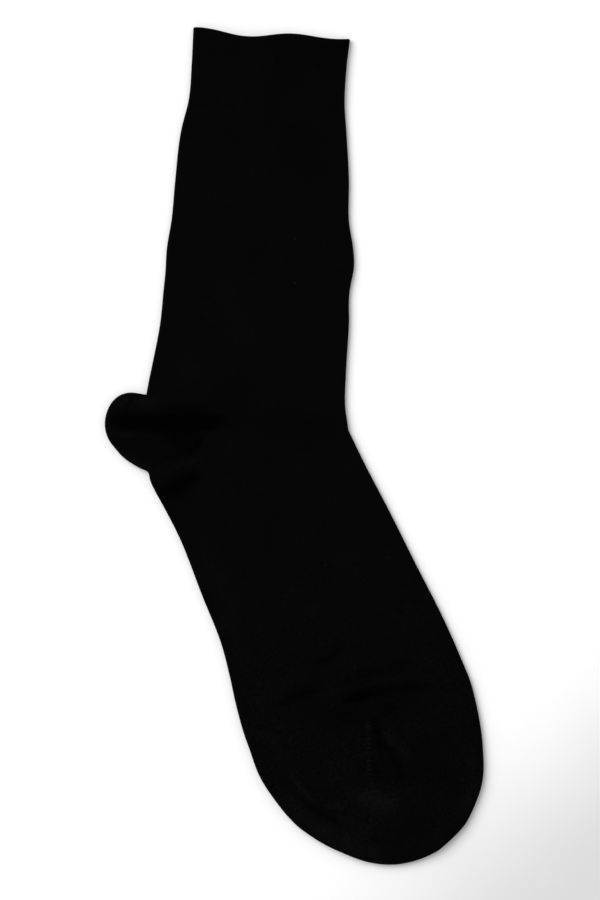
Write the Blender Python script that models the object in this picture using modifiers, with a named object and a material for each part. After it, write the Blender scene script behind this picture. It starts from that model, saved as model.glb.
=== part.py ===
"""One knitted crew sock, lying flat on its side on the floor.

The sock is one knitted tube: a turned welt at the mouth, the leg, a heel pocket of short courses, the foot
and a toe pocket.  A course is one knitted row.  Each course runs from the back fold over the side of the
sock to the front fold, and back underneath.  x points from the back of the leg to the shin, y up the leg
and z up from the floor.  Lengths are millimetres, measured from the apex of the heel pocket, which is the
point at the side of the ankle where leg, heel and foot meet.
"""

from collections import namedtuple

import bmesh
import bpy
import numpy as np

MM = 0.001
COLLECTION = "crew_sock"

# Cloth
WELT_WALL = 1.5  # a band knitted double and turned
TUBE_WALL = 1.0  # leg and foot
POCKET_WALL = 1.2  # heel and toe, knitted with a reinforcing yarn
WELT_LENGTH = 33.0
WELT_EXTRA_HEIGHT = 0.6  # the double band stands proud of the leg
WELT_EDGE_ROUND = 0.6
INSIDE_GAP = 0.35  # least space between the upper and the lower layer

# Clearances in plan between pieces that are knitted on to each other
SEAM_GAP = 0.5
HEEL_TO_SOLE_GAP = 0.9  # wider, because both walls lean where a ridge crosses this seam
APEX_BLUNTING = 2.0  # the heel's courses stop this far short of the apex

# The edge of the mouth rises and dips across the sock, less towards the shin and further down the leg
MOUTH_WAVE = 1.6
MOUTH_WAVE_CREST = 0.04  # share of the way from the back fold to the front fold
MOUTH_WAVE_PITCH = 0.57
MOUTH_WAVE_REACH = 14.0

# Courses of the leg and of the foot.  back, side and front are (x, y) where the course crosses the back
# fold, the side of the sock and the front fold; height is the thickness of the flattened tube; bend is 0
# for a course that turns sharply at the side and 1 for an evenly curved one.
Course = namedtuple("Course", "back side front height bend")

LEG_COURSES = (
    Course((-16.0, 181.6), (20.0, 178.8), (56.5, 176.8), 3.1, 1.0),
    Course((-16.8, 165.0), (19.0, 164.0), (54.9, 163.5), 3.0, 1.0),
    Course((-18.2, 148.6), (18.0, 147.8), (54.0, 147.2), 3.0, 1.0),
    Course((-21.6, 135.0), (17.0, 134.6), (54.8, 134.0), 2.9, 1.0),
    Course((-24.4, 112.0), (16.0, 111.6), (56.0, 111.0), 2.8, 1.0),
    Course((-26.1, 93.5), (15.0, 93.0), (56.0, 92.5), 2.8, 1.0),
    Course((-28.3, 80.0), (14.4, 79.5), (58.0, 79.5), 2.8, 1.0),
    Course((-29.0, 69.0), (13.6, 68.5), (58.2, 70.5), 2.8, 1.0),
    Course((-29.9, 60.0), (13.0, 59.0), (56.3, 60.0), 2.8, 1.0),
    Course((-31.3, 46.0), (11.5, 44.0), (56.0, 45.0), 2.9, 1.0),
    Course((-34.8, 27.5), (7.0, 22.5), (54.6, 22.0), 3.0, 0.8),
    Course((-37.8, 12.4), (0.0, 0.0), (55.8, -4.0), 3.2, 0.0),
)
FOOT_COURSES = (
    Course((-33.4, -33.0), (0.0, 0.0), (55.8, -4.0), 3.2, 0.0),
    Course((-29.5, -40.0), (8.0, -14.0), (62.5, -18.1), 3.1, 0.6),
    Course((-21.5, -56.0), (20.0, -39.0), (74.0, -40.2), 2.9, 1.0),
    Course((-12.2, -80.0), (33.6, -66.0), (86.8, -65.8), 2.9, 1.0),
    Course((-2.8, -104.0), (46.6, -94.0), (101.0, -94.0), 3.0, 1.0),
    Course((0.8, -118.0), (53.4, -111.0), (108.6, -111.4), 3.0, 1.0),
    Course((3.9, -132.0), (59.0, -127.0), (113.0, -123.0), 3.2, 1.0),
    Course((9.6, -150.5), (65.0, -152.0), (118.2, -150.0), 3.5, 1.0),
    Course((18.8, -171.5), (70.0, -176.5), (116.6, -172.5), 3.7, 1.0),
    Course((36.6, -190.6), (74.6, -195.6), (108.4, -188.6), 3.7, 1.0),
    Course((57.0, -201.8), (77.6, -206.2), (98.2, -198.1), 3.6, 1.0),
)
TOE_START = 6  # the toe pocket starts at this course of the foot

# Courses of the heel pocket, from the leg round to the foot.  back is where the course crosses the edge of
# the lobe, and bow is how far its middle hangs towards the foot.  Each ends at the apex.
HeelCourse = namedtuple("HeelCourse", "back bow height")

HEEL_COURSES = (
    HeelCourse((-37.8, 12.4), 0.0, 3.2),
    HeelCourse((-46.6, 13.2), 2.4, 3.6),
    HeelCourse((-52.4, 10.8), 2.6, 4.1),
    HeelCourse((-56.0, 4.4), 1.4, 4.6),
    HeelCourse((-56.9, -2.6), 0.6, 4.7),
    HeelCourse((-54.9, -8.9), 0.0, 4.6),
    HeelCourse((-49.2, -16.2), 0.0, 4.3),
    HeelCourse((-40.8, -22.0), 0.0, 3.9),
    HeelCourse((-35.8, -26.8), 0.0, 3.4),
    HeelCourse((-33.4, -33.0), 0.0, 3.2),
)

# Creases and swells pressed into the upper layer: a soft ridge (rise above 0) or trough (rise below 0)
# through three points, dying away at both ends.
Crease = namedtuple("Crease", "start middle end half_width rise")

CREASES = {
    "heel suture trough": Crease((-57.0, 0.5), (-29.0, -0.6), (-1.0, 0.0), 3.2, -1.7),
    "upper lobe ridge": Crease((-54.0, 8.2), (-36.0, 7.2), (-9.0, 5.4), 3.0, 1.8),
    "lower lobe ridge": Crease((-54.0, -7.5), (-37.0, -8.6), (-16.0, -7.0), 3.2, 1.6),
    "second heel trough": Crease((-10.0, -7.0), (-16.0, -12.6), (-26.0, -17.6), 2.8, -1.0),
    "lower heel ridge": Crease((-6.4, -14.6), (-20.8, -20.4), (-36.0, -23.0), 3.0, 1.9),
    "sole trough": Crease((-10.0, -22.0), (-20.6, -31.0), (-32.0, -37.0), 3.4, -0.9),
    "sole swell": Crease((-6.0, -33.0), (-13.6, -42.0), (-24.0, -48.0), 6.0, 0.9),
    "ankle trough": Crease((4.0, 1.0), (27.0, -1.0), (52.0, 1.0), 4.5, -0.5),
    "shin swell": Crease((44.0, 88.0), (50.5, 76.0), (46.0, 64.0), 6.0, 0.6),
    "lift of the mouth": Crease((-10.0, 184.0), (9.0, 179.5), (34.0, 181.0), 9.0, 1.5),
    "instep swell above the toe": Crease((30.0, -116.0), (62.0, -108.0), (94.0, -104.0), 11.0, 1.1),
    "ridge above the toe": Crease((46.0, -121.0), (70.0, -118.6), (96.0, -115.6), 3.4, 0.9),
    "toe trough, instep side": Crease((44.0, -129.0), (68.0, -126.0), (100.0, -123.0), 3.4, -1.4),
    "toe trough, sole side": Crease((16.0, -132.8), (33.0, -127.4), (48.0, -123.4), 3.0, -1.0),
    "toe pocket swell": Crease((26.0, -152.0), (64.0, -160.0), (102.0, -152.0), 24.0, 1.2),
    "toe suture ridge": Crease((65.8, -134.0), (66.0, -152.0), (67.6, -171.0), 2.6, 0.9),
    "toe suture trough": Crease((71.6, -136.0), (73.4, -154.0), (78.0, -172.0), 2.8, -1.0),
    "toe diagonal ridge": Crease((74.4, -140.0), (82.0, -150.6), (93.0, -157.0), 3.0, 1.0),
    "toe tip swell": Crease((48.0, -184.0), (68.0, -182.4), (92.0, -182.6), 8.0, 1.7),
    "toe tip trough": Crease((31.0, -172.5), (43.5, -180.6), (57.0, -191.6), 2.8, -1.0),
}
CREASE_SAMPLES = 40
CREASE_FADE = 0.35  # share of a crease's length over which each end dies away
CREASES_FULL_FROM_EDGE = 9.0  # creases die away towards the edge of the flat sock

# A broad slow unevenness of the whole upper layer
UNEVENNESS = 0.18
UNEVENNESS_PITCH = 61.0
UNEVENNESS_PHASE = 0.7

# Mesh density: courses along a piece, and steps across the back half and the front half of each layer
Density = namedtuple("Density", "courses upper lower")

WELT_DENSITY = Density(7, (7, 7), (3, 3))
LEG_DENSITY = Density(17, (14, 8), (3, 3))
HEEL_DENSITY = Density(22, 14, 5)
FOOT_DENSITY = Density(23, (14, 10), (3, 3))
TOE_DENSITY = Density(15, (9, 9), (9, 9))
TIP_COURSES = 4
FOLD_STEPS = 5
LINE_SAMPLES = 160

# Yarn colours and roughness
PLAIN_YARN = (0.011, 0.011, 0.012)
WELT_YARN = (0.013, 0.013, 0.014)
POCKET_YARN = (0.010, 0.010, 0.011)
PLAIN_ROUGHNESS = 0.9
WELT_ROUGHNESS = 0.85
POCKET_ROUGHNESS = 0.92


def clear_scene():
    for obj in list(bpy.data.objects):
        bpy.data.objects.remove(obj, do_unlink=True)


def along(points):
    """Length travelled along a chain of points, at each of them."""
    steps = np.linalg.norm(np.diff(points, axis=0), axis=1)
    return np.concatenate([[0.0], np.cumsum(steps)])


def ease(share):
    """0 to 1 with no slope at either end."""
    share = np.clip(share, 0.0, 1.0)
    return share * share * (3 - 2 * share)


def flow(knots, values, places):
    """A smooth curve through values at the knots, read at the given places."""
    slopes = np.gradient(values, knots, axis=0)
    span = np.clip(np.searchsorted(knots, places, side="right") - 1, 0, len(knots) - 2)
    width = (knots[span + 1] - knots[span])[:, None]
    t = (places - knots[span])[:, None] / width
    leaving = values[span] * (2 * t**3 - 3 * t**2 + 1) + slopes[span] * width * (t**3 - 2 * t**2 + t)
    arriving = values[span + 1] * (3 * t**2 - 2 * t**3) + slopes[span + 1] * width * (t**3 - t**2)
    return leaving + arriving


def crease_height(crease, plan):
    """What one crease adds to the upper layer at each plan point."""
    t = np.linspace(0, 1, CREASE_SAMPLES)[:, None]
    start, middle, end = (np.array(point) for point in crease[:3])
    pull = 2 * middle - (start + end) / 2
    spine = (1 - t) ** 2 * start + 2 * t * (1 - t) * pull + t**2 * end
    apart = np.linalg.norm(plan[:, None, :] - spine[None, :, :], axis=2)
    reached = t[apart.argmin(axis=1), 0]
    fade = ease(reached / CREASE_FADE) * ease((1 - reached) / CREASE_FADE)
    return crease.rise * fade * np.exp(-((apart.min(axis=1) / crease.half_width) ** 2))


def relief(plan, from_edge):
    """Height that creases and unevenness add to the upper layer, at plan points that far from its edge."""
    x, y = 2 * np.pi * plan.T / UNEVENNESS_PITCH
    total = UNEVENNESS * np.sin(x + UNEVENNESS_PHASE) * np.sin(y)
    for crease in CREASES.values():
        total = total + crease_height(crease, plan)
    return total * ease(from_edge / CREASES_FULL_FROM_EDGE)


def course_line(back, side, front, bend):
    """The course in plan from fold to fold, and the share of the way at which it crosses the side."""
    back, side, front = np.array(back), np.array(side), np.array(front)
    to_side = np.linalg.norm(side - back)
    share = to_side / (to_side + np.linalg.norm(front - side))
    s = np.linspace(0, 1, LINE_SAMPLES)
    tent = np.where(s < share, s / share, (1 - s) / (1 - share))
    arch = 1 - (1 - tent) ** 2
    lift = tent + bend * (arch - tent)
    off_chord = side - back - share * (front - back)
    return back + s[:, None] * (front - back) + lift[:, None] * off_chord, share


def heel_line(back, bow):
    """A heel course in plan, from the edge of the lobe to the apex."""
    s = np.linspace(0, 1, LINE_SAMPLES)[:, None]
    line = back * (1 - s)
    return line - across(line) * bow * 4 * s * (1 - s)


def across(line):
    """Unit vectors square to a course in plan, towards the mouth."""
    run = np.gradient(line, axis=0)
    run /= np.linalg.norm(run, axis=1)[:, None]
    return np.stack([-run[:, 1], run[:, 0]], axis=1)


def wavy_mouth(line, below_mouth):
    """The course with the uneven edge of the mouth, which dies away down the leg."""
    share = along(line) / along(line)[-1]
    wave = np.cos(2 * np.pi * (share - MOUTH_WAVE_CREST) / MOUTH_WAVE_PITCH) * (1 - share**3)
    lift = MOUTH_WAVE * wave * np.exp(-below_mouth / MOUTH_WAVE_REACH)
    return line + np.stack([np.zeros(len(line)), lift], axis=1)


def read_line(line, places):
    travelled = along(line)
    return np.stack([np.interp(places, travelled, line[:, axis]) for axis in (0, 1)], axis=1)


def two_halves(start, side, end, steps):
    """Places across a layer, with so many steps before and after the side of the sock."""
    return np.concatenate([np.linspace(start, side, steps[0] + 1), np.linspace(side, end, steps[1] + 1)[1:]])


def fold_profile(radius, fullness):
    """Distance in from the edge, and height, from the underside up round a folded edge."""
    angle = np.linspace(-np.pi / 2, np.pi / 2, FOLD_STEPS + 1)
    return radius * (1 - np.cos(angle)), radius * (1 + fullness * np.sin(angle))


def tube_ring(line, share, height, density, wall, from_tip=np.inf):
    """Points round the flat tube along one course: back fold, upper layer, front fold, lower layer."""
    length = along(line)[-1]
    radius = height / 2
    fullness = np.sqrt(1 - max(0.0, 1 - from_tip / radius) ** 2)
    inset, fold_z = fold_profile(radius, fullness)
    upper = two_halves(radius, share * length, length - radius, density.upper)[1:-1]
    lower = two_halves(radius, share * length, length - radius, density.lower)[-2:0:-1]
    plan = read_line(line, np.concatenate([inset, upper, (length - inset)[::-1], lower]))
    upper_plan = plan[len(inset) : len(inset) + len(upper)]
    from_edge = np.minimum(np.minimum(upper, length - upper), from_tip) - radius
    full = np.maximum(height + relief(upper_plan, from_edge), 2 * wall + INSIDE_GAP)
    upper_z = radius + (full - radius) * fullness
    lower_z = np.full(len(lower), radius * (1 - fullness))
    return np.column_stack([plan, np.concatenate([fold_z, upper_z, fold_z[::-1], lower_z])])


def pocket_strip(line, height, density, wall):
    """Points of one heel course: lower layer from the apex to the back fold, round it and back on top."""
    length = along(line)[-1] - APEX_BLUNTING
    radius = height / 2
    inset, fold_z = fold_profile(radius, 1.0)
    lower = np.linspace(length, radius, density.lower + 1)[:-1]
    upper = np.linspace(radius, length, density.upper + 1)[1:]
    plan = read_line(line, np.concatenate([lower, inset, upper]))
    added = relief(plan[-len(upper) :], upper - radius)
    upper_z = np.maximum(height + added, 2 * wall + INSIDE_GAP)
    return np.column_stack([plan, np.concatenate([np.zeros(len(lower)), fold_z, upper_z])])


class Tube:
    """The courses between those of a table, each found by how far along the side of the sock it lies."""

    def __init__(self, courses):
        self.values = np.array([[*c.back, *c.side, *c.front, c.height, c.bend] for c in courses])
        self.knots = along(self.values[:, 2:4])
        self.length = self.knots[-1]

    def course(self, place):
        row = flow(self.knots, self.values, np.array([place]))[0]
        line, share = course_line(row[0:2], row[2:4], row[4:6], np.clip(row[7], 0.0, 1.0))
        return line, share, row[6]


def yarn(name, colour, roughness):
    material = bpy.data.materials.new(f"{name} yarn")
    material.use_nodes = True
    shader = material.node_tree.nodes["Principled BSDF"]
    shader.inputs["Base Color"].default_value = (*colour, 1.0)
    shader.inputs["Roughness"].default_value = roughness
    shader.inputs["Metallic"].default_value = 0.0
    return material


def cloth(name, chains, wall, material, tubular=True):
    """A knitted piece: the open surface through its courses, given its wall inwards."""
    bm = bmesh.new()
    rows = [[bm.verts.new(point * MM) for point in chain] for chain in chains]
    for row, following in zip(rows, rows[1:]):
        for j in range(len(row) if tubular else len(row) - 1):
            k = (j + 1) % len(row)
            bm.faces.new((row[j], following[j], following[k], row[k]))
    bmesh.ops.remove_doubles(bm, verts=bm.verts, dist=0.001 * MM)
    mesh = bpy.data.meshes.new(name)
    bm.to_mesh(mesh)
    bm.free()
    mesh.shade_smooth()
    mesh.materials.append(material)
    piece = bpy.data.objects.new(name, mesh)
    solidify = piece.modifiers.new("wall", "SOLIDIFY")
    solidify.thickness = wall * MM
    solidify.offset = -1
    solidify.use_even_offset = True
    piece.modifiers.new("shading", "WEIGHTED_NORMAL")
    return piece


def make_welt(leg):
    rings = []
    for place in np.linspace(0.0, WELT_LENGTH - SEAM_GAP / 2, WELT_DENSITY.courses):
        line, share, height = leg.course(place)
        line = wavy_mouth(line, place)
        rings.append(tube_ring(line, share, height + WELT_EXTRA_HEIGHT, WELT_DENSITY, WELT_WALL))
    welt = cloth("welt", rings, WELT_WALL, yarn("welt", WELT_YARN, WELT_ROUGHNESS))
    turned_edge = welt.modifiers.new("turned edge", "BEVEL")
    turned_edge.width = WELT_EDGE_ROUND * MM
    turned_edge.segments = 2
    turned_edge.limit_method = "ANGLE"
    turned_edge.angle_limit = 1.3 * np.pi / FOLD_STEPS  # past a step of the side folds: only the rims
    return welt


def make_leg(leg):
    rings = []
    for place in np.linspace(WELT_LENGTH + SEAM_GAP / 2, leg.length, LEG_DENSITY.courses):
        line, share, height = leg.course(place)
        line = wavy_mouth(line, place)
        if place == leg.length:
            line = line + across(line) * SEAM_GAP / 2
        rings.append(tube_ring(line, share, height, LEG_DENSITY, TUBE_WALL))
    return cloth("leg", rings, TUBE_WALL, yarn("leg", PLAIN_YARN, PLAIN_ROUGHNESS))


def make_heel():
    """The heel pocket.  Its clearances are shared out over all courses, because they meet at the apex."""
    values = np.array([[*c.back, c.bow, c.height] for c in HEEL_COURSES])
    knots = along(values[:, 0:2])
    places = np.linspace(0, knots[-1], HEEL_DENSITY.courses)
    strips = []
    for down, row in zip(places / knots[-1], flow(knots, values, places)):
        line = heel_line(row[0:2], row[2])
        from_foot = down * (HEEL_TO_SOLE_GAP - SEAM_GAP / 2)
        from_leg = (1 - down) * SEAM_GAP / 2
        line = line + across(line) * (from_foot - from_leg)
        strips.append(pocket_strip(line, row[3], HEEL_DENSITY, POCKET_WALL))
    return cloth("heel", strips, POCKET_WALL, yarn("heel", POCKET_YARN, POCKET_ROUGHNESS), tubular=False)


def make_foot(foot):
    rings = []
    for place in np.linspace(0.0, foot.knots[TOE_START] - SEAM_GAP / 2, FOOT_DENSITY.courses):
        line, share, height = foot.course(place)
        if place == 0.0:
            line = line - across(line) * SEAM_GAP / 2
        rings.append(tube_ring(line, share, height, FOOT_DENSITY, TUBE_WALL))
    return cloth("foot", rings, TUBE_WALL, yarn("foot", PLAIN_YARN, PLAIN_ROUGHNESS))


def make_toe(foot):
    """The toe pocket, whose upper and lower layers meet in the last course and close it."""
    start = foot.knots[TOE_START] + SEAM_GAP / 2
    tip_round = FOOT_COURSES[-1].height / 2
    cup = np.linspace(start, foot.length - tip_round, TOE_DENSITY.courses)
    tip = foot.length - tip_round * (1 - np.sin(np.linspace(0, np.pi / 2, TIP_COURSES)))
    rings = []
    for place in np.concatenate([cup, tip[1:]]):
        line, share, height = foot.course(place)
        from_tip = foot.length - place
        rings.append(tube_ring(line, share, height, TOE_DENSITY, POCKET_WALL, from_tip))
    return cloth("toe", rings, POCKET_WALL, yarn("toe", POCKET_YARN, POCKET_ROUGHNESS))


def lay_on_floor(pieces):
    """Parents the pieces to an empty that puts the middle of the sock's outline over the origin."""
    corners = np.array([vertex.co for piece in pieces for vertex in piece.data.vertices])
    middle = (corners.min(axis=0) + corners.max(axis=0)) / 2
    sock = bpy.data.objects.new("sock", None)
    sock.location = (-middle[0], -middle[1], 0.0)
    for piece in pieces:
        piece.parent = sock
    return sock


def main():
    clear_scene()
    leg = Tube(LEG_COURSES)
    foot = Tube(FOOT_COURSES)
    pieces = [make_welt(leg), make_leg(leg), make_heel(), make_foot(foot), make_toe(foot)]
    collection = bpy.data.collections.new(COLLECTION)
    bpy.context.scene.collection.children.link(collection)
    for obj in [lay_on_floor(pieces), *pieces]:
        collection.objects.link(obj)


main()
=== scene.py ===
"""A black crew sock, knitted in one go and closed at the toe, lying flat on its side on a pale floor.

A course is one knitted row and a wale is one column of stitches.  Each course runs from the back fold over
the side of the sock to the front fold, and back underneath.  Lengths on the cloth are millimetres from the
apex of the heel pocket: x from the back of the leg to the shin, y up the leg and z up from the floor.
"""

from collections import namedtuple

import bmesh
import bpy
import numpy as np
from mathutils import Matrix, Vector, noise
from mathutils.bvhtree import BVHTree


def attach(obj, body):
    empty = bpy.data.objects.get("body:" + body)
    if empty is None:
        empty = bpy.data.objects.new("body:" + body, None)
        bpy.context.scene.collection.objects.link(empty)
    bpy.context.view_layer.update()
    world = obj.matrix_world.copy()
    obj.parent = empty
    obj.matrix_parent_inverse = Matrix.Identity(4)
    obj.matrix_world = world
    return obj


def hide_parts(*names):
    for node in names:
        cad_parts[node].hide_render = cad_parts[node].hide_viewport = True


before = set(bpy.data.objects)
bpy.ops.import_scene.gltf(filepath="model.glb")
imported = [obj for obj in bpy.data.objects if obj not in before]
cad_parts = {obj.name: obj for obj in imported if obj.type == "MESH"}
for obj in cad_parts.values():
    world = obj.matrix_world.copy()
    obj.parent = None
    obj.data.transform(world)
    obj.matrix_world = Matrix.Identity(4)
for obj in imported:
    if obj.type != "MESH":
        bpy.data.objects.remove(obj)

MM = 0.001
APEX = np.array([-0.03083, 0.01164, 0.0])  # where the heel's apex lies in the frame, in metres

# ---- Knitting ----

WELT_WALL = 1.5  # a band knitted double and turned
TUBE_WALL = 1.0  # leg and foot
POCKET_WALL = 1.0  # heel and toe, knitted with a reinforcing yarn
INSIDE_GAP = 0.15  # least space between the upper and the lower layer
NEEDLES = 200  # stitches in one course, all round
QUARTER = NEEDLES / 4  # stitches from a fold to the side of the sock
COURSE_PITCH = 0.62  # from one course to the next
HEEL_COURSES_ABOVE = 34  # from the leg to the gore, at the back of the heel
HEEL_COURSES_BELOW = 60  # from the gore to the foot
HEEL_SWELL_REACH = 50.0  # the heel is as thin as its neighbours at the apex and full this far from it
WELT_LENGTH = 33.0
WELT_EXTRA_HEIGHT = 0.35  # the double band stands proud of the leg
WELT_STEP = 4.0  # and comes down to it over this length
RUBBED_FROM = -30.0  # the foot rubs in the shoe, from here on
RUBBED_RUN = 130.0  # and fully past this length

# The edge of the mouth rises and dips across the sock, less towards the shin and further down the leg
MOUTH_WAVE = 1.5
MOUTH_WAVE_CREST = 0.04
MOUTH_WAVE_PITCH = 0.62
MOUTH_WAVE_REACH = 14.0

# The turned edge of the mouth is rounded, outside and inside
TURN_ROUND = 0.6
TURN_PROFILE = 0.5  # an even arc
TURN_STEPS = 3
RIM_FACING = 0.85  # a face that looks up the leg this squarely is on the rim
RIM_SLOPE = 0.3  # and one that looks up it this much is on the turn
SHARP_ANGLE = np.radians(62.0)  # an edge that turns more than this stays crisp

# Courses of the leg and of the foot.  back, side and front are (x, y) where the course crosses the back
# fold, the side of the sock and the front fold; height is the thickness of the flattened tube; bend is 1
# for an evenly curved course, as most are, and 0 for one that turns sharply at the side.
Course = namedtuple("Course", "back side front height bend", defaults=(1.0,))

LEG_COURSES = (
    Course((-16.0, 180.9), (20.0, 178.8), (56.5, 176.8), 3.1),
    Course((-16.8, 165.0), (19.0, 164.0), (54.9, 163.5), 3.0),
    Course((-18.2, 148.6), (18.0, 147.8), (54.0, 147.2), 3.0),
    Course((-21.6, 135.0), (17.0, 134.6), (54.8, 134.0), 2.9),
    Course((-24.4, 112.0), (16.0, 111.6), (56.0, 111.0), 2.8),
    Course((-26.1, 93.5), (15.0, 93.0), (56.0, 92.5), 2.8),
    Course((-28.3, 80.0), (14.4, 79.5), (58.0, 79.5), 2.8),
    Course((-29.0, 69.0), (13.6, 68.5), (58.2, 70.5), 2.8),
    Course((-29.9, 60.0), (13.0, 59.0), (56.3, 60.0), 2.8),
    Course((-31.3, 46.0), (11.5, 44.0), (56.0, 45.0), 2.9),
    Course((-34.8, 27.5), (7.0, 22.5), (54.6, 22.0), 3.0, 0.8),
    Course((-36.4, 19.8), (3.6, 11.4), (54.2, 8.6), 3.1, 0.4),
    Course((-37.8, 12.4), (0.0, 0.0), (55.7, -4.0), 3.2, 0.0),
)
FOOT_COURSES = (
    Course((-33.4, -33.0), (0.0, 0.0), (55.7, -4.0), 3.2, 0.0),
    Course((-29.5, -40.0), (8.0, -14.0), (62.5, -18.1), 3.1, 0.6),
    Course((-21.5, -56.0), (20.0, -39.0), (74.0, -40.2), 2.9),
    Course((-12.2, -80.0), (33.6, -66.0), (86.8, -65.8), 2.9),
    Course((-2.8, -104.0), (46.6, -94.0), (101.0, -94.0), 3.0),
    Course((0.8, -118.0), (53.4, -111.0), (108.6, -111.4), 3.0),
    Course((3.9, -132.0), (59.0, -127.0), (113.0, -123.0), 3.2),
    Course((9.5, -150.5), (65.0, -152.0), (117.9, -150.0), 3.5),
    Course((19.0, -171.5), (70.0, -176.5), (116.2, -172.5), 3.7),
    Course((27.9, -183.0), (72.3, -186.0), (111.8, -182.9), 3.7),
    Course((36.5, -190.6), (74.2, -194.6), (108.0, -188.6), 3.7),
    Course((46.7, -196.8), (75.8, -200.4), (103.0, -193.7), 3.7),
    Course((57.5, -201.5), (77.4, -205.0), (97.3, -198.6), 3.6),
)
TOE_START = 6  # the toe pocket starts at this course of the foot

# Courses of the heel pocket, from the leg round to the foot.  back is where the course crosses the edge of
# the lobe, height its thickness there, and bow how far its middle hangs down.  Each ends at the apex.
HeelCourse = namedtuple("HeelCourse", "back height bow", defaults=(0.0,))

HEEL_COURSES = (
    HeelCourse((-37.8, 12.4), 3.2),
    HeelCourse((-46.6, 13.2), 3.6, 2.4),
    HeelCourse((-49.6, 12.3), 3.8, 2.5),
    HeelCourse((-52.6, 10.1), 4.1, 2.6),
    HeelCourse((-56.0, 4.4), 4.6, 1.4),
    HeelCourse((-56.9, -2.6), 4.7, 0.6),
    HeelCourse((-54.9, -8.9), 4.6),
    HeelCourse((-52.2, -12.5), 4.5),
    HeelCourse((-48.9, -16.2), 4.3),
    HeelCourse((-40.9, -21.6), 3.9),
    HeelCourse((-37.0, -23.6), 3.6),
    HeelCourse((-36.0, -27.4), 3.4),
    HeelCourse((-33.4, -33.0), 3.2),
)
HEEL_GORE_START = (-56.4, 0.6)  # where the heel's suture line meets the edge of the lobe

# ---- Creases, and painted light and shade ----

# Soft ridges (rise above 0) and troughs (rise below 0) of the cloth, along a line of points.  The value
# after
# the rise is painted light and shade: how much lighter the yarn is coloured along it, as a painted
# highlight, or darker, as painted shade, and with no rise it is a painted shade or a painted sheen only.
# fade is the share of its length over which each end dies away, and sides is 2 for a rounded one and more
# for one with steep sides.
Crease = namedtuple("Crease", "points half_width rise tone fade sides", defaults=(0.0, 0.3, 2.0))

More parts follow.
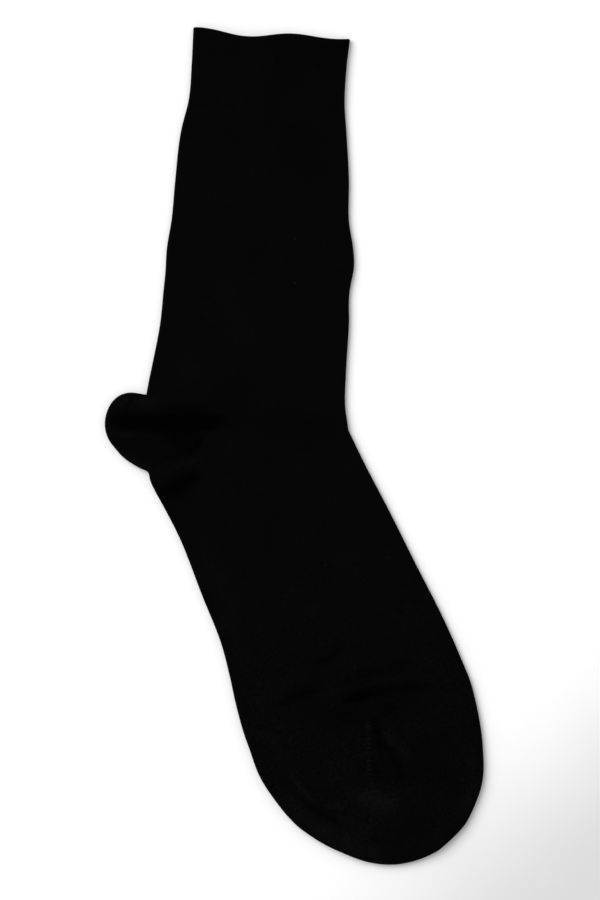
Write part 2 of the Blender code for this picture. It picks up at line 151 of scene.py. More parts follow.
CREASES = {
    # Broad forms, which the solids have too
    "heel suture trough": Crease(
        ((-60.5, 0.2), (-29.0, -0.4), (4.0, -0.2)), 4.0, -1.7, -0.46, fade=0.2, sides=4.0
    ),
    "upper lobe ridge": Crease(((-54.0, 8.2), (-36.0, 7.2), (-9.0, 5.4)), 3.0, 1.3, fade=0.35),
    "lower lobe ridge": Crease(((-54.0, -7.5), (-37.0, -8.6), (-16.0, -7.0)), 3.2, 1.2, fade=0.35),
    "second heel trough": Crease(
        ((-10.0, -7.0), (-16.0, -12.6), (-26.0, -17.6)), 2.8, -0.8, -0.12, fade=0.35
    ),
    "lower heel ridge": Crease(((-6.4, -14.6), (-20.8, -20.4), (-36.0, -23.0)), 3.0, 1.4, fade=0.35),
    "sole trough": Crease(((-10.0, -22.0), (-20.6, -31.0), (-32.0, -37.0)), 3.4, -0.8, -0.22, fade=0.25),
    "sole swell": Crease(((-6.0, -33.0), (-13.6, -42.0), (-24.0, -48.0)), 6.0, 0.5, fade=0.35),
    "ankle trough": Crease(((4.0, 1.0), (27.0, -1.0), (52.0, 1.0)), 4.5, -0.45, -0.08, fade=0.35),
    "shin swell": Crease(((44.0, 88.0), (50.5, 76.0), (46.0, 64.0)), 6.0, 0.5, fade=0.35),
    "lift of the mouth": Crease(((-10.0, 184.0), (9.0, 179.5), (34.0, 181.0)), 9.0, 0.9, fade=0.35),
    "instep swell above the toe": Crease(
        ((30.0, -116.0), (62.0, -108.0), (94.0, -104.0)), 11.0, 0.6, fade=0.35
    ),
    "ridge above the toe": Crease(((50.0, -123.0), (72.0, -119.8), (96.0, -117.0)), 2.2, 0.5, fade=0.35),
    "toe trough, instep side": Crease(((44.0, -129.0), (68.0, -126.0), (100.0, -123.0)), 2.8, -0.9, -0.12),
    "toe trough, sole side": Crease(
        ((16.0, -132.8), (33.0, -127.4), (48.0, -123.4)), 2.4, -0.7, -0.1, fade=0.35
    ),
    "toe pocket swell": Crease(((26.0, -152.0), (64.0, -160.0), (102.0, -152.0)), 24.0, 0.9, fade=0.35),
    "toe suture ridge": Crease(((65.2, -134.0), (65.0, -152.0), (66.0, -171.0)), 2.2, 0.5),
    "toe suture trough": Crease(
        ((71.0, -136.0), (72.4, -154.0), (77.0, -172.0)), 2.6, -0.5, -0.06, fade=0.35
    ),
    "toe diagonal ridge": Crease(((74.4, -140.0), (82.0, -150.6), (93.0, -157.0)), 3.0, 0.6, fade=0.35),
    "toe tip swell": Crease(((48.0, -182.0), (68.0, -179.4), (92.0, -181.6)), 7.0, 1.0, fade=0.35),
    "toe tip trough": Crease(((31.0, -172.5), (43.5, -180.6), (57.0, -191.6)), 2.4, -0.6, -0.05, fade=0.35),
    # Heel and sole
    "corner of the lobe": Crease(((-52.3, 6.0), (-49.1, 9.3), (-44.9, 11.1)), 2.4, 0.4, 0.15),
    "nick in the lobe": Crease(((-44.0, 11.1), (-44.9, 8.8), (-48.2, 4.6)), 0.8, -0.45, -0.22),
    "lump on the lobe": Crease(((-42.6, 7.9), (-37.0, 7.9), (-29.6, 6.5)), 2.8, 0.35, 0.1, fade=0.35),
    "thread of a ridge": Crease(((-38.0, 11.6), (-26.9, 12.0), (-13.0, 11.1)), 1.4, 0.2, 0.07, fade=0.35),
    "shade over the suture": Crease(((-33.3, 6.0), (-22.2, 6.0), (-10.2, 5.6)), 2.3, 0.0, -0.2),
    "dimple by the leg": Crease(((-13.4, 8.3), (-12.0, 6.5), (-9.3, 4.2)), 2.2, -0.22, -0.12),
    "lip under the suture": Crease(((-57.4, -5.6), (-49.1, -6.0), (-39.8, -6.0)), 1.7, 0.3, 0.12),
    "shade under the suture": Crease(((-41.7, -4.6), (-22.2, -4.6), (-2.8, -3.2)), 1.6, 0.0, -0.2, fade=0.2),
    "dip in the lower lobe": Crease(((-53.7, -11.1), (-44.4, -10.6), (-32.4, -9.7)), 2.6, -0.45, -0.14),
    "edge of the lower lobe": Crease(((-51.9, -13.4), (-44.9, -18.5), (-34.7, -22.2)), 2.0, 0.4, 0.16),
    "pinch in the lower lobe": Crease(((-31.5, -4.6), (-29.2, -6.9), (-26.9, -10.2)), 1.5, -0.2, -0.14),
    "pin prick in the lobe": Crease(((-29.2, -16.7), (-26.4, -17.1), (-23.2, -17.1)), 1.5, -0.18, -0.14),
    "fold behind the suture": Crease(((-29.6, -8.3), (-21.3, -7.9), (-11.1, -5.1)), 4.0, 0.0, -0.26),
    "second heel fold": Crease(
        ((-8.8, -4.6), (-12.5, -8.8), (-14.8, -12.5), (-20.4, -16.7)), 1.5, -0.7, -0.26, fade=0.25
    ),
    "lip of the second fold": Crease(
        ((-6.5, -16.2), (-14.8, -18.5), (-21.3, -20.8), (-29.2, -23.2), (-37.5, -23.6)),
        2.0, 0.25, 0.07, fade=0.35,
    ),
    "third heel fold": Crease(
        ((-13.4, -19.9), (-18.5, -26.4), (-23.6, -29.6), (-37.0, -35.7)),
        2.6, -0.7, -0.3, fade=0.25, sides=2.6,
    ),
    "sole lip by the heel": Crease(((-0.9, -2.3), (0.9, -11.1), (-0.5, -20.8)), 3.0, 0.3, 0.1, fade=0.35),
    "short sole lip": Crease(((-3.7, -25.9), (0.0, -25.9), (4.2, -25.9)), 2.2, 0.18, 0.09),
    # Toe
    "hook above the toe": Crease(
        ((49.1, -97.7), (50.5, -104.6), (47.7, -109.3), (36.1, -112.0)), 1.6, -0.6, -0.24
    ),
    "upper toe fold": Crease(
        ((45.4, -123.6), (59.3, -119.0), (66.7, -116.7), (77.3, -114.4), (92.6, -110.7)),
        2.8, -0.45, -0.22, fade=0.35,
    ),
    "sole end of the toe fold": Crease(
        ((20.4, -133.3), (28.7, -128.3), (34.3, -125.9), (46.3, -123.2)), 2.6, -0.4, -0.16, fade=0.35
    ),
    "toe fold": Crease(
        ((48.6, -130.1), (59.7, -127.8), (66.7, -125.5), (77.3, -123.2), (98.2, -122.2)), 2.1, -0.7, -0.2
    ),
    "heart of the toe fold": Crease(
        ((50.9, -129.2), (59.7, -127.3), (70.4, -125.5)), 2.8, -0.2, -0.16, fade=0.35
    ),
    "fan under the toe fold": Crease(
        ((57.4, -129.2), (51.9, -135.7), (43.5, -142.1)), 4.2, -0.3, -0.05, fade=0.35
    ),
    "dimple in the toe": Crease(((70.4, -132.4), (74.1, -133.3), (79.2, -132.9)), 1.9, -0.4, -0.16),
    "top of the gore": Crease(((63.9, -135.7), (68.1, -140.3), (70.8, -145.8)), 2.6, -0.3, -0.18),
    "upper gore hollow": Crease(((67.6, -139.4), (69.9, -146.8), (70.8, -155.1)), 2.0, -0.55, -0.26),
    "lower gore hollow": Crease(((66.2, -155.6), (68.1, -160.2), (70.4, -166.2)), 1.6, -0.4, -0.24),
    "sole side of the gore": Crease(((63.9, -155.6), (62.0, -160.7), (61.1, -164.4)), 1.4, -0.3, -0.14),
    "hollow beside the gore": Crease(
        ((72.2, -147.2), (76.4, -155.1), (79.6, -161.6), (81.5, -170.8)), 2.2, -0.5, -0.2
    ),
    "slant in the toe": Crease(((69.0, -141.7), (77.3, -149.5), (88.0, -158.8)), 2.2, 0.45, 0.16),
    "ball of the toe": Crease(
        ((49.1, -177.3), (60.2, -173.6), (71.3, -175.0), (86.1, -185.2)), 5.6, 0.55, 0.18, fade=0.38
    ),
    "crown of the ball": Crease(((55.6, -175.0), (65.7, -175.0), (77.8, -177.8)), 3.4, 0.15, 0.1, fade=0.4),
    "small ball of the toe": Crease(((43.5, -178.7), (49.5, -177.8), (56.5, -178.7)), 2.0, 0.35, 0.16),
    "streak in the toe": Crease(((51.9, -182.4), (55.6, -184.3), (59.3, -186.1)), 0.9, 0.3, 0.12),
    "crease line on the toe": Crease(((26.9, -157.9), (34.3, -169.9), (42.6, -179.2)), 1.5, 0.3, 0.16),
    "line beside the crease line": Crease(
        ((31.5, -174.1), (38.9, -178.7), (48.6, -184.3), (55.1, -189.8)), 1.3, -0.4, -0.15, fade=0.25
    ),
    "left patch of the tip": Crease(((37.0, -191.2), (44.4, -188.4), (51.9, -184.7)), 2.6, 0.25, 0.1),
    "middle patch of the tip": Crease(((55.1, -186.6), (55.6, -193.5), (55.6, -200.9)), 1.6, 0.25, 0.09),
    "dimple in the tip": Crease(((64.8, -193.1), (68.1, -193.1), (71.3, -193.5)), 1.9, -0.2, -0.1),
    # Painted sheen along the edges of the sole and the toe, where the cloth turns away
    "painted sheen along the edge of the sole": Crease(
        ((-18.5, -38.9), (-9.3, -59.7), (-0.9, -82.9), (5.6, -106.0), (8.3, -124.5)), 6.0, 0.0, 0.09
    ),
    "painted sheen along the edge of the toe": Crease(
        ((20.4, -166.2), (33.3, -182.4), (51.9, -194.9), (68.5, -199.6), (84.3, -196.8)),
        5.0, 0.0, 0.14, fade=0.25,
    ),
    "painted sheen along the side of the toe": Crease(
        ((108.8, -145.4), (113.4, -163.9), (111.1, -177.8), (103.7, -188.4)), 4.0, 0.0, 0.13
    ),
    "bright stitch of the gore": Crease(
        ((63.9, -138.4), (65.3, -141.2), (67.1, -144.5)), 1.1, 0.15, 0.26, fade=0.4
    ),
    "knot of the slant": Crease(((70.4, -142.1), (72.7, -144.0), (75.5, -146.3)), 1.6, 0.1, 0.12, fade=0.4),
    "shallow dent of the sole": Crease(((18.5, -150.0), (21.8, -161.6), (26.9, -170.8)), 3.0, -0.2, -0.05),
}

# Painted light and shade in soft patches: centre, reach along x and y, and how much lighter it is painted,
# or below 0 how much darker as painted shade
Patch = namedtuple("Patch", "centre reach amount")

PAINTED_PATCHES = {
    "shade by the mouth": Patch((44.9, 169.5), (16.7, 9.3), -0.12),
    "shade along the mouth": Patch((15.7, 174.1), (13.9, 4.6), -0.06),
    "shade under the welt": Patch((33.3, 124.5), (12.0, 16.7), -0.13),
    # Painted light on the calf, on the side that faces the light
    "painted light on the calf": Patch((-10.6, 51.4), (19.4, 23.2), 0.04),
    "shade over the heel": Patch((-0.9, 9.7), (10.2, 10.2), -0.12),
    "shade across the ankle": Patch((29.6, -0.5), (28.7, 5.6), -0.11),
    # Painted sheen at the turned edge of the instep
    "painted sheen on the instep edge": Patch((90.7, -92.1), (10.2, 18.5), 0.04),
    "fan of shade": Patch((50.9, -135.7), (11.1, 6.5), -0.06),
    "shade under the toe fold": Patch((59.3, -134.3), (16.7, 6.9), -0.1),
    "shade right of the toe fold": Patch((80.6, -132.0), (12.0, 6.5), -0.07),
    "shade across the instep side": Patch((91.2, -145.8), (11.1, 12.0), -0.06),
    "shade of the lower lobe": Patch((-32.4, -10.6), (18.5, 9.3), -0.1),
    # Painted sheen round the turned edges of the toe and its tip
    "painted sheen on the tip": Patch((56.5, -190.3), (21.3, 11.1), 0.06),
    "painted sheen on the sole of the toe": Patch((15.7, -140.8), (7.4, 18.5), 0.04),
    "painted sheen on the side of the toe": Patch((18.5, -160.7), (15.7, 8.3), 0.04),
    "painted sheen on the tip, instep side": Patch((96.3, -195.4), (9.3, 5.6), 0.04),
    "shade beside the toe": Patch((92.6, -184.7), (8.3, 9.3), -0.05),
    "shade at the toe's edge": Patch((101.9, -145.4), (7.4, 13.9), -0.04),
    "shade of the tip": Patch((70.4, -194.9), (12.0, 4.6), -0.05),
}

CREASE_STEP = 1.0  # spacing of the points that stand for a crease
CREASE_STEPS_LEAST = 8
CREASE_CUT = 3.2  # half widths past which a crease is nothing
TAPERED = 0.3  # how wide a crease still is where it ends
CREASES_FULL_FROM_EDGE = 6.0  # creases die away towards the edge of the flat sock
FLOOR_BEND = 0.2  # how softly a crease ends where the two layers touch

# Unevenness of the cloth: height, and size of the hollows, of a slow swell and of small puckers
UNEVENNESS = ((0.20, 46.0), (0.12, 15.0), (0.05, 5.5))
UPPER, LOWER = 1, 2  # the layers, which are uneven each in its own way
LAYER_SHIFT = 9.3  # how far apart in the noise the two layers are read
UNDERSIDE_SHARE = 0.45  # how far the lower layer follows the creases of the upper one
UNDERSIDE_SHIFT = (4.0, -5.0)  # from a place on the lower layer to the crease above that it follows
UNDERSIDE_LIFT = 0.9  # the most that the lower layer lifts off the floor

# ---- Mesh density ----

# Spacing of the courses, and steps across the back half and the front half of each layer
Density = namedtuple("Density", "spacing upper lower")

WELT_DENSITY = Density(0.85, (46, 46), (20, 20))
TUBE_DENSITY = Density(0.95, (48, 48), (15, 15))
HEEL_DENSITY = Density(0.55, 84, 30)
TOE_DENSITY = Density(0.68, (66, 66), (66, 66))
TIP_COURSES = 6  # over the rounding of the tip
FOLD_STEPS = 8  # round a folded edge
LINE_SAMPLES = 120  # points that stand for one run of a course in plan
WELD_REACH = 0.002  # points of a piece that lie closer than this are one

# ---- Yarn, in metres ----

# One yarn's look: how light it is where it is fully painted shade, deep in a crease or between the stitches,
# plain, and where it takes full painted light and wear, how rough it is, and how far its stitches wander
# from their columns
Yarn = namedtuple("Yarn", "deep plain worn rough wander")

YARNS = {
    "welt_knit": Yarn(0.0002, 0.0022, 0.0068, 0.86, 0.14),
    "plain_knit": Yarn(0.0002, 0.0023, 0.0072, 0.90, 0.18),
    "pocket_knit": Yarn(0.0002, 0.0023, 0.0074, 0.92, 0.22),
}
GLOSS = {
    "Metallic": 0.0,
    "Specular IOR Level": 0.010,
    "Sheen Weight": 0.010,
    "Sheen Roughness": 0.35,
    "Sheen Tint": (1.0, 1.0, 1.0, 1.0),
}
STITCH_DEPTH = 0.00022
FUZZ_DEPTH = 0.00010
ROUGHNESS_SWING = 0.05  # how far the roughness goes up and down with the broad shading

TENSION_SCALE = 0.35  # how quickly the knitting goes from tight to loose, per stitch
COURSE_WANDER = 1.7  # a course wanders this many times as far as a wale
YARN_DIP = 0.7  # how much of a stitch's height is lost between one yarn and the next
# Painted shade in the gaps between the stitches
GAP_OPEN = 0.12  # height of a stitch below which the gap beside it is fully painted shade
GAP_CLOSED = 0.55  # and above which there is none
GAP_PAINTED_SHADE = 0.55

# Wear and painted light go from 0, fully painted shade deep in a crease, to 1, painted highlight and rubbed
# pale
FULL_PAINTED_SHADE = 0.05
WEAR_PLAIN = 0.5
FULL_PAINTED_LIGHT_AND_WEAR = 1.0
SHADING_SWING = 0.07
FIBRE_SWING = 0.25
PILLING_SWING = 0.08  # where nothing rubs
RUBBED_PILLING_SWING = 0.29
CLOUDS = (0.3, 0.7)  # the range of a noise in which its clouds go from none to full
LINT_PER_METRE = 70.0  # places for a speck, of which few are taken
LINT_SIZE = (0.012, 0.030)  # as a share of the way from speck to speck: its solid middle, and its edge
LINT_COLOUR = 0.010

# ---- Sewing ----

# Down the side of the toe, from there to the instep fold, and along the heel's suture
TOE_GORE = ((64.9, -138.9), (64.6, -145.8), (65.1, -152.3), (65.4, -159.3), (66.0, -164.2), (67.2, -171.0))
TOE_LINK = ((65.2, -138.4), (72.0, -133.0), (84.0, -128.6), (98.0, -125.4), (111.2, -122.8))
HEEL_GORE = ((-54.6, 0.4), (-40.0, -0.2), (-20.0, -0.3), (-2.0, 0.0))
SEWING_SINK = 0.03  # how deep a line of sewing lies in the cloth
UNDERSIDE_SINK = 0.20  # pressed into the cloth by the sock's weight
LINE_STEP = 0.5  # spacing of the points of a line of sewing
PROBE_HEIGHT = 0.05  # metres above and below the floor from which a line is dropped onto the cloth

# A stitch is two grains of yarn, so far apart, that lean together like a V by so many radians
Stitch = namedtuple("Stitch", "spacing grain_length grain_width apart lean")

GORE_STITCH = Stitch(1.95, 1.6, 0.5, 0.95, 0.6)
LINK_STITCH = Stitch(0.88, 0.8, 0.34, 0.3, 0.9)
GRAIN_SEGMENTS = 8
GRAIN_RINGS = 6
STITCH_SEED = 7

# How light each sewing yarn is, between its turns and on them; the heel's is coloured darker than the link
# yarn, as painted shade in the trough of the suture
SEWING_YARNS = {"gore_yarn": (0.0022, 0.0066), "link_yarn": (0.0010, 0.0030), "heel_yarn_in_painted_shade": (0.0001, 0.0006)}
TWIST_SCALE = 2600.0  # per metre
TWIST_RANGE = (0.35, 0.65)  # the range of the noise in which a yarn goes from dark to light
TWIST_ROUGHNESS = (0.75, 0.90)

# ---- Floor, light and camera, in metres ----

FLOOR_SIZE = 3.0
FLOOR_DROP = 0.0004  # the fibres of the sock keep it this far off the paper
PAPER = 0.96
SHADED_PAPER = 0.69  # towards the corner of the backdrop beyond the toe
PAPER_LOOK = {"Roughness": 0.95, "Specular IOR Level": 0.1}
PAPER_GRAIN = 0.01  # how far the edge of the shade wanders
PAPER_GRAIN_SCALE = 14.0  # per metre
SHADE_FROM = 0.150  # from the middle of the floor towards that corner
SHADE_FULL = 0.245
SHADE_TURN = 0.86  # radians from the x axis, clockwise, to that corner
VIEW_CENTRE = (0.0025, -0.0016)
VIEW_DISTANCE = 2.0
VIEW_HEIGHT = 0.4167  # of the floor, from top to bottom of the view
SENSOR = 36.0  # millimetres, as the lens is
WINDOW_PLACE = (-2.2, 1.5, 2.9)
WINDOW_SIZE = 3.0
WINDOW_POWER = 116.0  # watts
FILL_STRENGTH = 0.62  # light of the pale room, from all round

# ---- Curves ----


def along(points):
    """Length travelled along a chain of points, at each of them."""
    steps = np.linalg.norm(np.diff(points, axis=0), axis=1)
    return np.concatenate([[0.0], np.cumsum(steps)])


def ease(share):
    """0 to 1 with no slope at either end."""
    share = np.clip(share, 0.0, 1.0)
    return share * share * (3 - 2 * share)


def spaced(start, end, spacing):
    """Even places from start to end, about so far apart."""
    return np.linspace(start, end, int(round((end - start) / spacing)) + 1)


def flow(knots, values, places):
    """A smooth curve through values at the knots, read at the given places."""
    slopes = np.gradient(values, knots, axis=0)
    span = np.clip(np.searchsorted(knots, places, side="right") - 1, 0, len(knots) - 2)
    width = (knots[span + 1] - knots[span])[:, None]
    t = (places - knots[span])[:, None] / width
    leaving = values[span] * (2 * t**3 - 3 * t**2 + 1) + slopes[span] * width * (t**3 - 2 * t**2 + t)
    arriving = values[span + 1] * (3 * t**2 - 2 * t**3) + slopes[span + 1] * width * (t**3 - t**2)
    return leaving + arriving


def read_line(line, places):
    """Points of a line at the given lengths along it."""
    travelled = along(line)
    return np.stack([np.interp(places, travelled, line[:, axis]) for axis in (0, 1)], axis=1)


def beside(spine, plan):
    """Distance of each plan point from a chain of points, and how far along the chain it is nearest."""
    travelled = along(spine)
    nearest = np.linalg.norm(plan[:, None, :] - spine[None, :, :], axis=2).argmin(axis=1)
    best = np.full(len(plan), np.inf)
    place = np.zeros(len(plan))
    for first in (nearest - 1, nearest):
        first = np.clip(first, 0, len(spine) - 2)
        run = spine[first + 1] - spine[first]
        share = np.clip(((plan - spine[first]) * run).sum(axis=1) / (run**2).sum(axis=1), 0, 1)
        apart = np.linalg.norm(plan - spine[first] - share[:, None] * run, axis=1)
        closer = apart < best
        best[closer] = apart[closer]
        place[closer] = (travelled[first] + share * np.linalg.norm(run, axis=1))[closer]
    return best, place


# ---- Creases, and painted light and shade ----


def pressed(plan):
    """What all creases add to the height of the cloth, and the painted light and shade they add to its
    colour, at each plan point.
    """
    height, tone = np.zeros(len(plan)), np.zeros(len(plan))
    for crease in CREASES.values():
        points = np.array(crease.points)
        knots = along(points)
        steps = max(CREASE_STEPS_LEAST, int(knots[-1] / CREASE_STEP))
        spine = flow(knots, points, np.linspace(0, knots[-1], steps))
        reach = CREASE_CUT * crease.half_width
        near = np.all((plan > spine.min(axis=0) - reach) & (plan < spine.max(axis=0) + reach), axis=1)
        if near.any():
            apart, place = beside(spine, plan[near])
            reached = place / along(spine)[-1]
            ends = ease(reached / crease.fade) * ease((1 - reached) / crease.fade)
            narrowed = crease.half_width * (TAPERED + (1 - TAPERED) * ends)
            profile = ends * np.exp(-((apart / narrowed) ** crease.sides))
            height[near] += crease.rise * profile
            tone[near] += crease.tone * profile
    return height, tone


def unevenness(plan, layer):
    """Slow swells and small puckers, different on each layer."""
    total = np.zeros(len(plan))
    for height, size in UNEVENNESS:
        depth = layer * LAYER_SHIFT + size
        total += height * np.array([noise.noise(Vector((x / size, y / size, depth))) for x, y in plan])
    return total


def painted_patch_shading(plan):
    """How much lighter or darker the yarn is painted at each plan point, as painted light and shade in
    patches.
    """
    total = np.zeros(len(plan))
    for patch in PAINTED_PATCHES.values():
        away = (plan - np.array(patch.centre)) / np.array(patch.reach)
        total += patch.amount * np.exp(-(away**2).sum(axis=1))
    return total


def not_below(value, least):
    """The value, bent softly so that it never falls below the least."""
    return least + FLOOR_BEND * np.logaddexp(0, (value - least) / FLOOR_BEND)


# ---- Courses in plan ----


def course_line(back, side, front, bend):
    """The course in plan from fold to fold, and the share of the way at which it crosses the side."""
    to_side = np.linalg.norm(side - back)
    share = to_side / (to_side + np.linalg.norm(front - side))
    s = np.concatenate([np.linspace(0, share, LINE_SAMPLES), np.linspace(share, 1, LINE_SAMPLES)[1:]])
    tent = np.minimum(s / share, (1 - s) / (1 - share))
    arch = 1 - (1 - tent) ** 2
    lift = tent + bend * (arch - tent)
    off_chord = side - back - share * (front - back)
    return back + s[:, None] * (front - back) + lift[:, None] * off_chord, share


def across(line):
    """Unit vectors square to a course in plan, towards the mouth."""
    run = np.gradient(line, axis=0)
    run /= np.linalg.norm(run, axis=1)[:, None]
    return np.stack([-run[:, 1], run[:, 0]], axis=1)


def heel_line(back, bow):
    """A heel course in plan, from the edge of the lobe to the apex."""
    s = np.linspace(0, 1, LINE_SAMPLES)[:, None]
    line = back * (1 - s)
    return line - across(line) * bow * 4 * s * (1 - s)


def wavy_mouth(line, below_mouth):
    """The course with the uneven edge of the mouth, which dies away down the leg."""
    share = along(line) / along(line)[-1]
    wave = np.cos(2 * np.pi * (share - MOUTH_WAVE_CREST) / MOUTH_WAVE_PITCH) * (1 - share**3)
    lift = MOUTH_WAVE * wave * np.exp(-below_mouth / MOUTH_WAVE_REACH)
    return line + np.stack([np.zeros(len(line)), lift], axis=1)


class Tube:
    """The courses between those of a table, each found by how far along the side of the sock it lies."""

    def __init__(self, courses):
        self.values = np.array([[*c.back, *c.side, *c.front, c.height, c.bend] for c in courses])
        self.knots = along(self.values[:, 2:4])
        self.length = self.knots[-1]

    def course(self, place):
        """The course's line, the share of the way at which it crosses the side, and its height."""
        row = flow(self.knots, self.values, np.array([place]))[0]
        line, share = course_line(row[0:2], row[2:4], row[4:6], np.clip(row[7], 0.0, 1.0))
        return line, share, row[6]


# ---- Rings and strips of cloth ----

# What is known of each point of the cloth while a piece is laid out.  height is how thick the flat sock is
# there, fullness the share of it that is left where the tip rounds off, and from_edge the way in from the
# fold.  upper and lower say which layer the point is in, and neither is set on a fold.  wale and course
# count its stitches.
Row = namedtuple("Row", "plan z height fullness from_edge upper lower wale front_wale course")


def two_halves(start, side, end, steps):
    """Places across a layer, with so many steps before and after the side of the sock."""
    return np.concatenate([np.linspace(start, side, steps[0] + 1), np.linspace(side, end, steps[1] + 1)[1:]])


def fold_profile(radius, fullness):
    """Angle, distance in from the edge, and height, from the underside up round a folded edge."""
    angle = np.linspace(-np.pi / 2, np.pi / 2, FOLD_STEPS + 1)
    return angle, radius * (1 - np.cos(angle)), radius * (1 + fullness * np.sin(angle))


def fold_spare(radius):
    """What going round a fold adds to the way across."""
    return radius * (np.pi / 2 - 1)


def marked(count, start, end):
    """A mask over so many points that is set from start up to end."""
    mask = np.zeros(count, bool)
    mask[start:end] = True
    return mask


def ring_wales(way, middle, half, pitch):
    """Stitch numbers at each place round a ring, by the back fold's count and by the front fold's.

    middle is the way from the back fold to the side of the sock and half the way to the front fold."""
    if pitch is None:
        stops = [-middle, 0, middle, half, 2 * half - middle, 2 * half]
        wale = np.interp(way, stops, QUARTER * np.array([-1, 0, 1, 2, 3, 4]))
        return wale, wale
    wale = np.where(way > half, way - 2 * half, way) / pitch[0]
    return wale, NEEDLES / 2 + (way - half) / pitch[1]


def tube_ring(line, share, height, density, course, from_tip=np.inf, pitch=None):
    """One course round the flat tube: back fold, upper layer, front fold, lower layer.

    pitch sets the width of a stitch on the sole's side and on the instep's, where the ring gets narrower by
    losing stitches at the side.  Without it every ring has all its stitches."""
    length = along(line)[-1]
    radius = height / 2
    fullness = np.sqrt(1 - max(0.0, 1 - from_tip / radius) ** 2)
    angle, inset, fold_z = fold_profile(radius, fullness)
    side = share * length
    top = two_halves(radius, side, length - radius, density.upper)[1:-1]
    bottom = two_halves(radius, side, length - radius, density.lower)[-2:0:-1]
    plan = read_line(line, np.concatenate([inset, top, (length - inset)[::-1], bottom]))
    count, folds = len(plan), len(inset)
    upper = marked(count, folds, folds + len(top))
    lower = marked(count, count - len(bottom), count)
    flat = np.concatenate([inset, top, inset, bottom])
    from_edge = np.minimum(np.minimum(flat, length - flat), from_tip) - radius
    z = np.concatenate([fold_z, np.full(len(top), height), fold_z[::-1], np.zeros(len(bottom))])
    spare = fold_spare(radius)
    half = length + 2 * spare
    way = [radius * angle, top + spare, half - radius * angle[::-1], 2 * half - bottom - spare]
    wale, front_wale = ring_wales(np.concatenate(way), side + spare, half, pitch)
    heights, fullnesses, courses = (np.full(count, value) for value in (height, fullness, course))
    return Row(plan, z, heights, fullnesses, from_edge, upper, lower, wale, front_wale, courses)


def stitch_widths(line, share, height):
    """Width of a stitch on the back half and on the front half of a ring with all its stitches."""
    length = along(line)[-1]
    return [(part * length + fold_spare(height / 2)) / QUARTER for part in (share, 1 - share)]


def pocket_strip(line, height, density):
    """One heel course: lower layer from the apex to the back fold, round it and back on top."""
    length = along(line)[-1]
    radius = height / 2
    angle, inset, fold_z = fold_profile(radius, 1.0)
    bottom = np.linspace(length, radius, density.lower + 1)[:-1]
    top = np.linspace(radius, length, density.upper + 1)[1:]
    flat = np.concatenate([bottom, inset, top])
    count = len(flat)
    upper, lower = marked(count, count - len(top), count), marked(count, 0, len(bottom))
    at_apex = HEEL_COURSES[0].height
    heights = at_apex + (height - at_apex) * ease((length - flat) / HEEL_SWELL_REACH)
    heights[~upper] = height
    z = np.concatenate([np.zeros(len(bottom)), fold_z, heights[upper]])
    spare = fold_spare(radius)
    wale = np.concatenate([-bottom - spare, radius * angle, top + spare]) / (length + spare) * QUARTER
    plan, full, uncounted = read_line(line, flat), np.ones(count), np.zeros(count)
    return Row(plan, z, heights, full, flat - radius, upper, lower, wale, wale, uncounted)


def stacked(rows):
    """All rows of a piece as one Row of arrays, rows first."""
    return Row(*(np.array([getattr(row, field) for row in rows]) for field in Row._fields))


def lay_out(cloth, wall):
    """Points of a piece in metres, creases and all, the painted light and shade of each, and how rubbed each
    is.
    """
    plan = cloth.plan.reshape(-1, 2)
    z, height, fullness, from_edge, upper, lower = (values.reshape(-1) for values in cloth[1:7])
    z = z.copy()
    radius = height / 2
    least = 2 * wall + INSIDE_GAP
    inwards = ease(from_edge / CREASES_FULL_FROM_EDGE)
    rise, tone = pressed(plan)
    full = not_below(height + (rise + unevenness(plan, UPPER)) * inwards, least)
    z[upper] = (radius + (full - radius) * fullness)[upper]
    under, under_painted_shading = pressed(plan + UNDERSIDE_SHIFT)
    under = (UNDERSIDE_SHARE * under + unevenness(plan, LOWER)) * inwards
    lift = np.clip(np.minimum(under, full - least), 0, UNDERSIDE_LIFT)
    z[lower] = (radius * (1 - fullness) + lift * fullness)[lower]
    # Painted light and shade: on top and round the folds that of the creases and patches, underneath that of
    # the creases above, turned round
    worn = WEAR_PLAIN + np.where(lower, -under_painted_shading, tone + painted_patch_shading(plan))
    rubbed = ease((RUBBED_FROM - plan[:, 1]) / RUBBED_RUN)
    return np.column_stack([plan, z]) * MM + APEX, worn, rubbed


# ---- Stitch numbers ----

# A grid of cloth: its rows, the numbering of its stitches, and whether its last column runs on into its
# first.  knit gives the wale and the course at the corner (r, c) of the faces in row strip i and column j.
Grid = namedtuple("Grid", "cloth knit tubular")


def tube_grid(cloth):
    """A tube, whose wales are counted on past its first column."""

    def knit(r, c, i, j):
        round_again = (c == 0) & (j > 0)
        return cloth.wale[r, c] + np.where(round_again, NEEDLES, 0), cloth.course[r, c]

    return Grid(cloth, knit, True)


def heel_grid(cloth, gore, first_course):
    """The heel, whose courses go on from the leg's above the gore and from the foot's below it.

    It is knitted on half the needles, each course a stitch shorter than the last up to the gore and then a
    stitch longer again, so the nearer the apex, the fewer courses there are."""
    last = len(cloth.z) - 1
    row = np.arange(last + 1)[:, None]
    reaching = 1 - np.abs(cloth.wale) / QUARTER
    above = first_course + HEEL_COURSES_ABOVE * row / gore * reaching
    below = first_course - HEEL_COURSES_BELOW * (last - row) / (last - gore) * reaching

    def knit(r, c, i, j):
        return cloth.wale[r, c], np.where(i < gore, above[r, c], below[r, c])

    return Grid(cloth, knit, False)


